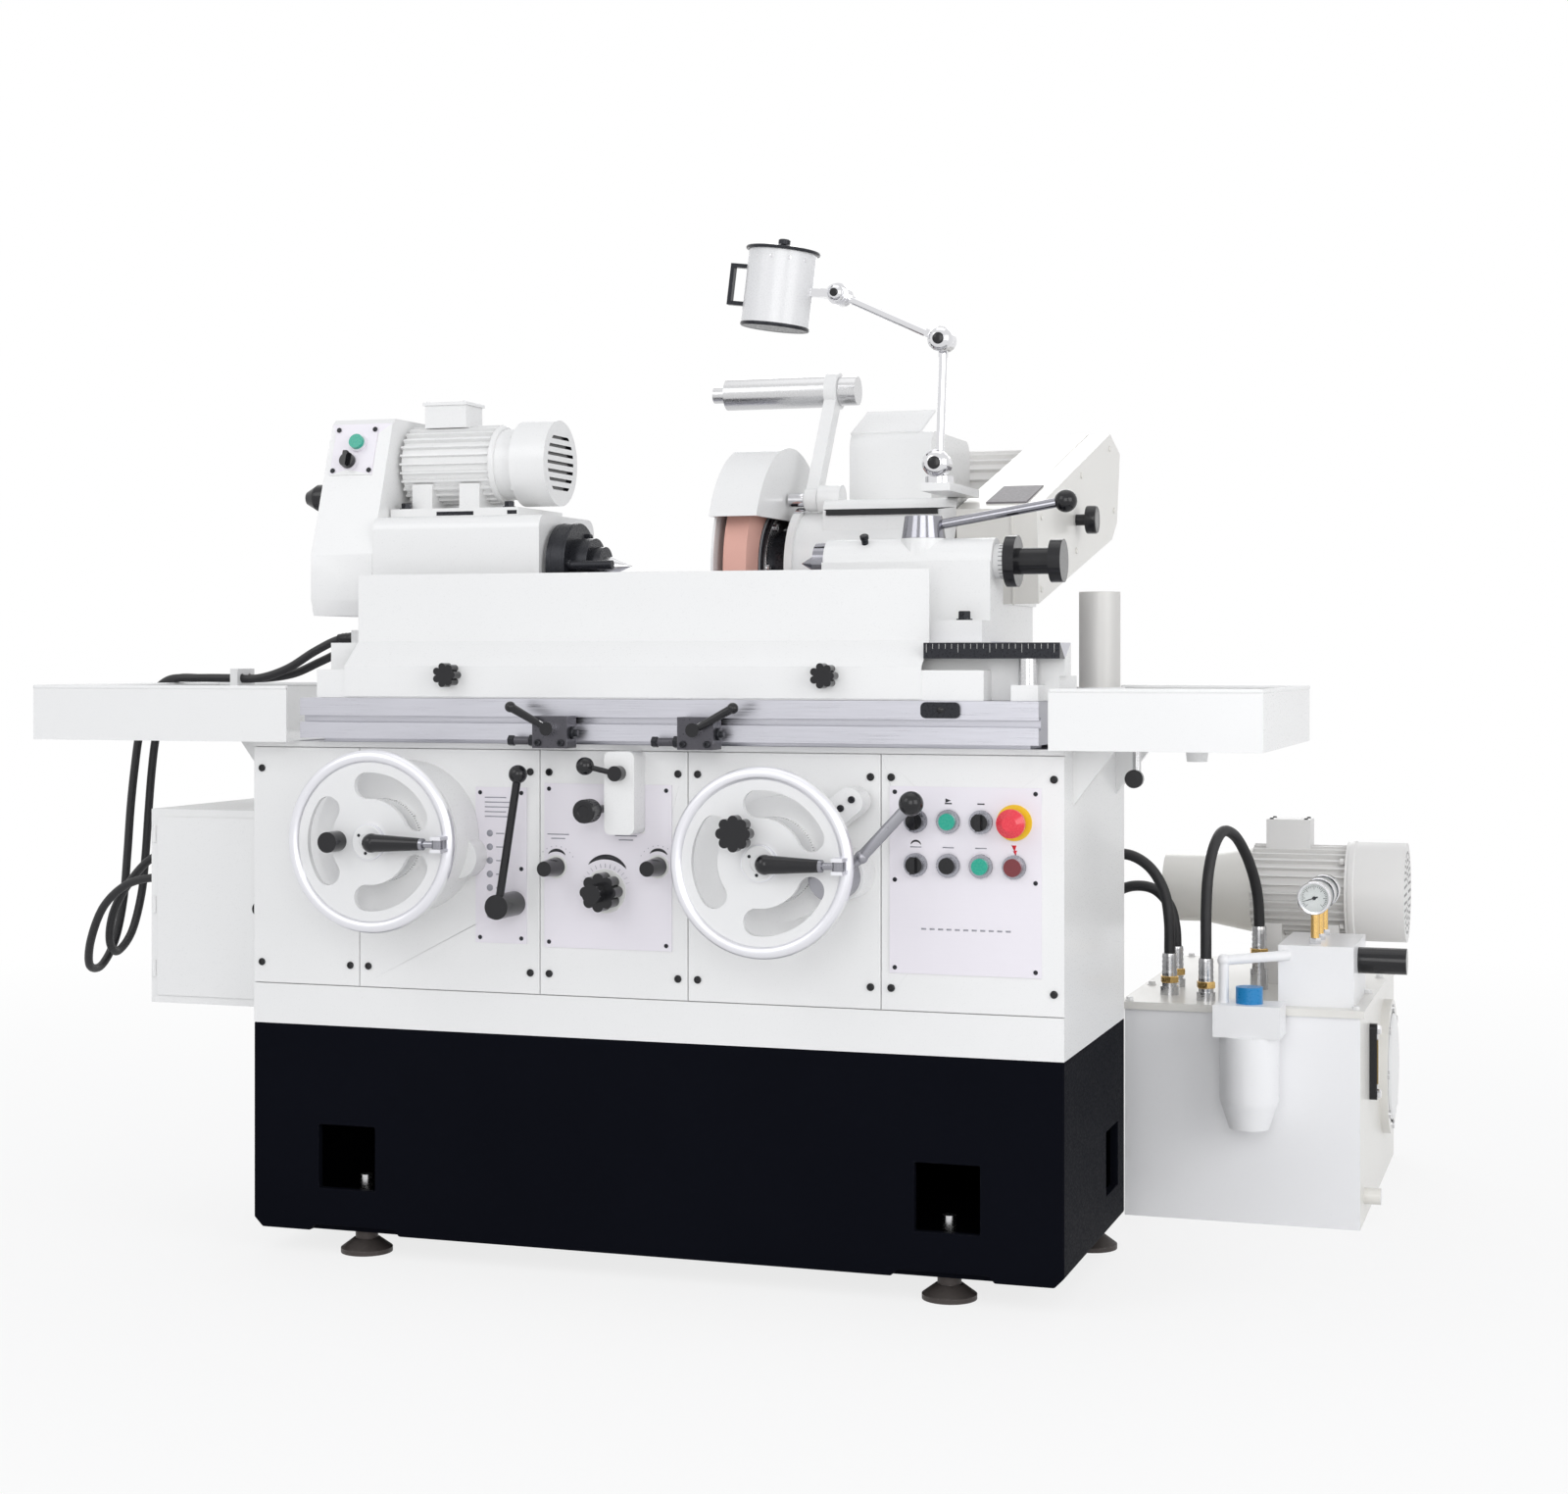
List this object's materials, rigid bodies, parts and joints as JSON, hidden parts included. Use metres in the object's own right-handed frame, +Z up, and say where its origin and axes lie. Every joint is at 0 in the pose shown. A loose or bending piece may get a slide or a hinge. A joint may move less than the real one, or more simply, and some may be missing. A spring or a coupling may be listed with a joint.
{
  "type": "cylindrical grinding machine",
  "caption": "Universal cylindrical grinder on a T-shaped base with a swivelling table, workhead, tailstock, wheelhead, folding internal spindle, lamp and separate hydraulic unit.",
  "frame": {"origin": "on the floor under the middle of the machine's outline without its hanging cables", "axes": "+X along the table to the operator's right, +Y from the operator to the back, +Z up"},
  "size_m": [2.153, 1.47, 1.5192],
  "materials": {
    "white_paint": "satin white paint",
    "dark_paint": "satin near-black blue paint",
    "ground_steel": "ground steel, lengthwise grain",
    "turned_steel": "turned bright steel",
    "dark_steel": "blackened steel",
    "polished_aluminium": "polished aluminium",
    "plate_aluminium": "brushed aluminium plates",
    "black_plastic": "polished black phenolic",
    "green_plastic": "teal green plastic",
    "red_plastic": "red plastic",
    "abrasive": "salmon pink bonded abrasive",
    "lamp_white": "white enamel",
    "rubber": "matt black rubber",
    "feet_iron": "grey painted iron"
  },
  "bodies": {
    "base": {"base_plinth": "dark_paint", "bed_casting": "white_paint", "front_covers": "white_paint", "cover_screws": "black_plastic", "panel_plates": "plate_aluminium", "levelling_feet": "feet_iron", "trays_and_oiler": "white_paint", "handwheel_housings": "white_paint", "control_box": "white_paint", "hydraulic_tank": "white_paint", "hydraulic_motor_pump": "white_paint", "hydraulic_manifold": "plate_aluminium", "hydraulic_hoses": "rubber", "control_cables": "rubber"},
    "table": {"lower_table": "ground_steel"},
    "left_dog": {"dog_left": "ground_steel"},
    "right_dog": {"dog_right": "ground_steel"},
    "swivel_table": {"upper_table": "white_paint", "splash_guard": "white_paint", "workhead_base": "white_paint"},
    "workhead": {"workhead_housing": "white_paint", "workhead_motor": "white_paint", "work_centre": "turned_steel"},
    "faceplate": {"driving_plate": "turned_steel"},
    "head_button": {"workhead_button": "green_plastic"},
    "head_selector": {"workhead_selector": "black_plastic"},
    "tailstock": {"tailstock_body": "white_paint"},
    "quill": {"tailstock_quill": "turned_steel"},
    "quill_lever": {"tailstock_lever": "black_plastic"},
    "quill_knob": {"tailstock_knob": "black_plastic"},
    "cross_slide": {"wheelhead_slide": "white_paint"},
    "wheelhead": {"wheelhead_housing": "white_paint", "wheelhead_covers": "white_paint", "wheel_motor": "white_paint"},
    "wheel": {"grinding_wheel": "abrasive", "wheel_spindle": "dark_steel"},
    "drive_pulley": {"motor_pulley": "dark_steel"},
    "inner_arm": {"internal_arm": "turned_steel"},
    "inner_spindle": {"internal_spindle": "turned_steel"},
    "lamp_foot": {"lamp_base": "turned_steel"},
    "lamp_low": {"lamp_lower_arm": "turned_steel"},
    "lamp_up": {"lamp_upper_arm": "turned_steel"},
    "lamp_shade": {"lamp_head": "lamp_white"},
    "table_wheel": {"table_handwheel": "polished_aluminium"},
    "table_grip": {"table_handwheel_grip": "black_plastic"},
    "infeed_wheel": {"infeed_handwheel": "polished_aluminium"},
    "infeed_grip": {"infeed_handwheel_grip": "black_plastic"},
    "rapid": {"rapid_lever": "turned_steel"},
    "start_lever": {"table_lever": "black_plastic"},
    "reverse": {"reversing_lever": "black_plastic"},
    "dwell_left": {"dwell_knob_left": "black_plastic"},
    "dwell_right": {"dwell_knob_right": "black_plastic"},
    "speed": {"speed_knob": "black_plastic"},
    "switch_left": {"selector_left": "black_plastic"},
    "switch_middle": {"selector_middle": "black_plastic"},
    "switch_lower": {"selector_lower": "black_plastic"},
    "green_upper": {"green_button_upper": "green_plastic"},
    "green_lower": {"green_button_lower": "green_plastic"},
    "black": {"black_button": "black_plastic"},
    "stop": {"stop_button": "red_plastic"}
  },
  "joints": [
    {"name": "table_traverse", "type": "slide", "parent": "base", "child": "table", "axis": [1, 0, 0], "range_m": [-0.2, 0.1]},
    {"name": "left_dog_slide", "type": "slide", "parent": "table", "child": "left_dog", "axis": [1, 0, 0], "range_m": [-0.16, 0.06]},
    {"name": "right_dog_slide", "type": "slide", "parent": "table", "child": "right_dog", "axis": [1, 0, 0], "range_m": [-0.01, 0.36]},
    {"name": "table_swivel", "type": "hinge", "parent": "table", "child": "swivel_table", "pos_m": [0.0125, -0.467, 0.838], "axis": [0, 0, 1], "range_deg": [-3, 3]},
    {"name": "workhead_swivel", "type": "hinge", "parent": "swivel_table", "child": "workhead", "pos_m": [-0.3455, -0.437, 0.948], "axis": [0, 0, 1], "range_deg": [-15, 12]},
    {"name": "work_spin", "type": "hinge", "parent": "workhead", "child": "faceplate", "pos_m": [-0.1405, -0.437, 1.0356], "axis": [1, 0, 0], "continuous": true},
    {"name": "workhead_button_press", "type": "slide", "parent": "workhead", "child": "head_button", "axis": [0, 0.9479, -0.3187], "range_m": [0, 0.004], "stiffness_N_per_m": 300, "springref_m": -0.002},
    {"name": "workhead_selector_turn", "type": "hinge", "parent": "workhead", "child": "head_selector", "pos_m": [-0.5395, -0.46189, 1.20047], "axis": [0, -0.9479, 0.3187], "range_deg": [-45, 45]},
    {"name": "tailstock_slide", "type": "slide", "parent": "swivel_table", "child": "tailstock", "axis": [1, 0, 0], "range_m": [-0.1, 0.018]},
    {"name": "quill_slide", "type": "slide", "parent": "tailstock", "child": "quill", "axis": [1, 0, 0], "range_m": [-0.0028, 0.017]},
    {"name": "quill_lever_turn", "type": "hinge", "parent": "tailstock", "child": "quill_lever", "pos_m": [0.3715, -0.437, 1.086], "axis": [0, 0, 1], "range_deg": [-60, 10]},
    {"name": "quill_knob_turn", "type": "hinge", "parent": "tailstock", "child": "quill_knob", "pos_m": [0.5295, -0.437, 1.0356], "axis": [1, 0, 0], "continuous": true},
    {"name": "infeed_slide", "type": "slide", "parent": "base", "child": "cross_slide", "axis": [0, -1, 0], "range_m": [-0.12, 0.045]},
    {"name": "wheelhead_swivel", "type": "hinge", "parent": "cross_slide", "child": "wheelhead", "pos_m": [0.2095, 0.023, 0.8806], "axis": [0, 0, 1], "range_deg": [-10, 8]},
    {"name": "wheel_spin", "type": "hinge", "parent": "wheelhead", "child": "wheel", "pos_m": [0.0545, -0.207, 1.0356], "axis": [1, 0, 0], "continuous": true},
    {"name": "pulley_spin", "type": "hinge", "parent": "wheelhead", "child": "drive_pulley", "pos_m": [0.4295, 0.245, 1.15671], "axis": [1, 0, 0], "continuous": true},
    {"name": "inner_arm_swing", "type": "hinge", "parent": "wheelhead", "child": "inner_arm", "pos_m": [0.1395, -0.23, 1.143], "axis": [-1, 0, 0], "range_deg": [-153, 0]},
    {"name": "inner_spin", "type": "hinge", "parent": "inner_arm", "child": "inner_spindle", "pos_m": [-0.0205, -0.117, 1.322], "axis": [1, 0, 0], "continuous": true},
    {"name": "lamp_turn", "type": "hinge", "parent": "wheelhead", "child": "lamp_foot", "pos_m": [0.3835, -0.392, 1.16], "axis": [0, 0, -1], "range_deg": [-20, 20]},
    {"name": "lamp_low_tilt", "type": "hinge", "parent": "lamp_foot", "child": "lamp_low", "pos_m": [0.3835, -0.392, 1.1803], "axis": [0, 1, 0], "range_deg": [-10, 10]},
    {"name": "lamp_elbow", "type": "hinge", "parent": "lamp_low", "child": "lamp_up", "pos_m": [0.38978, -0.392, 1.36019], "axis": [0, 1, 0], "range_deg": [-12, 12]},
    {"name": "lamp_head_tilt", "type": "hinge", "parent": "lamp_up", "child": "lamp_shade", "pos_m": [0.23208, -0.392, 1.43373], "axis": [0, 1, 0], "range_deg": [-20, 20]},
    {"name": "table_wheel_turn", "type": "hinge", "parent": "base", "child": "table_wheel", "pos_m": [-0.3835, -0.691, 0.633], "axis": [0, 1, 0], "range_deg": [-1210, 610]},
    {"name": "table_grip_fold", "type": "hinge", "parent": "table_wheel", "child": "table_grip", "pos_m": [-0.2655, -0.717, 0.633], "axis": [0, 0, 1], "range_deg": [0, 90]},
    {"name": "infeed_wheel_turn", "type": "hinge", "parent": "base", "child": "infeed_wheel", "pos_m": [0.2095, -0.691, 0.617], "axis": [0, 1, 0], "continuous": true},
    {"name": "infeed_grip_fold", "type": "hinge", "parent": "infeed_wheel", "child": "infeed_grip", "pos_m": [0.3275, -0.717, 0.617], "axis": [0, 0, 1], "range_deg": [0, 90]},
    {"name": "rapid_lever_turn", "type": "hinge", "parent": "base", "child": "rapid", "pos_m": [0.3015, -0.657, 0.596], "axis": [0, 1, 0], "range_deg": [-20, 20]},
    {"name": "table_lever_turn", "type": "hinge", "parent": "base", "child": "start_lever", "pos_m": [-0.2135, -0.625, 0.538], "axis": [0, 1, 0], "range_deg": [-15, 15]},
    {"name": "reversing_lever_turn", "type": "hinge", "parent": "base", "child": "reverse", "pos_m": [-0.0315, -0.624, 0.733], "axis": [0, 1, 0], "range_deg": [-10, 10]},
    {"name": "dwell_left_turn", "type": "hinge", "parent": "base", "child": "dwell_left", "pos_m": [-0.1465, -0.587, 0.5935], "axis": [0, 1, 0], "range_deg": [-135, 135]},
    {"name": "dwell_right_turn", "type": "hinge", "parent": "base", "child": "dwell_right", "pos_m": [0.012, -0.587, 0.5976], "axis": [0, 1, 0], "range_deg": [-135, 135]},
    {"name": "speed_turn", "type": "hinge", "parent": "base", "child": "speed", "pos_m": [-0.0695, -0.587, 0.56], "axis": [0, 1, 0], "range_deg": [-135, 135]},
    {"name": "selector_left_turn", "type": "hinge", "parent": "base", "child": "switch_left", "pos_m": [0.3955, -0.579, 0.671], "axis": [0, 1, 0], "range_deg": [-45, 45]},
    {"name": "selector_middle_turn", "type": "hinge", "parent": "base", "child": "switch_middle", "pos_m": [0.4885, -0.579, 0.671], "axis": [0, 1, 0], "range_deg": [-45, 45]},
    {"name": "selector_lower_turn", "type": "hinge", "parent": "base", "child": "switch_lower", "pos_m": [0.3955, -0.579, 0.61], "axis": [0, 1, 0], "range_deg": [-45, 45]},
    {"name": "green_upper_press", "type": "slide", "parent": "base", "child": "green_upper", "axis": [0, 1, 0], "range_m": [0, 0.004], "stiffness_N_per_m": 300, "springref_m": -0.002},
    {"name": "green_lower_press", "type": "slide", "parent": "base", "child": "green_lower", "axis": [0, 1, 0], "range_m": [0, 0.004], "stiffness_N_per_m": 300, "springref_m": -0.002},
    {"name": "black_press", "type": "slide", "parent": "base", "child": "black", "axis": [0, 1, 0], "range_m": [0, 0.004], "stiffness_N_per_m": 300, "springref_m": -0.002},
    {"name": "stop_press", "type": "slide", "parent": "base", "child": "stop", "axis": [0, 1, 0], "range_m": [0, 0.005], "stiffness_N_per_m": 500, "springref_m": -0.002}
  ],
  "couplings": [
    {"joint": "quill_lever_turn", "follows": "quill_slide", "rad_per_m": -60},
    {"joint": "table_wheel_turn", "follows": "table_traverse", "rad_per_m": 105},
    {"joint": "pulley_spin", "follows": "wheel_spin", "ratio": 0.6}
  ]
}
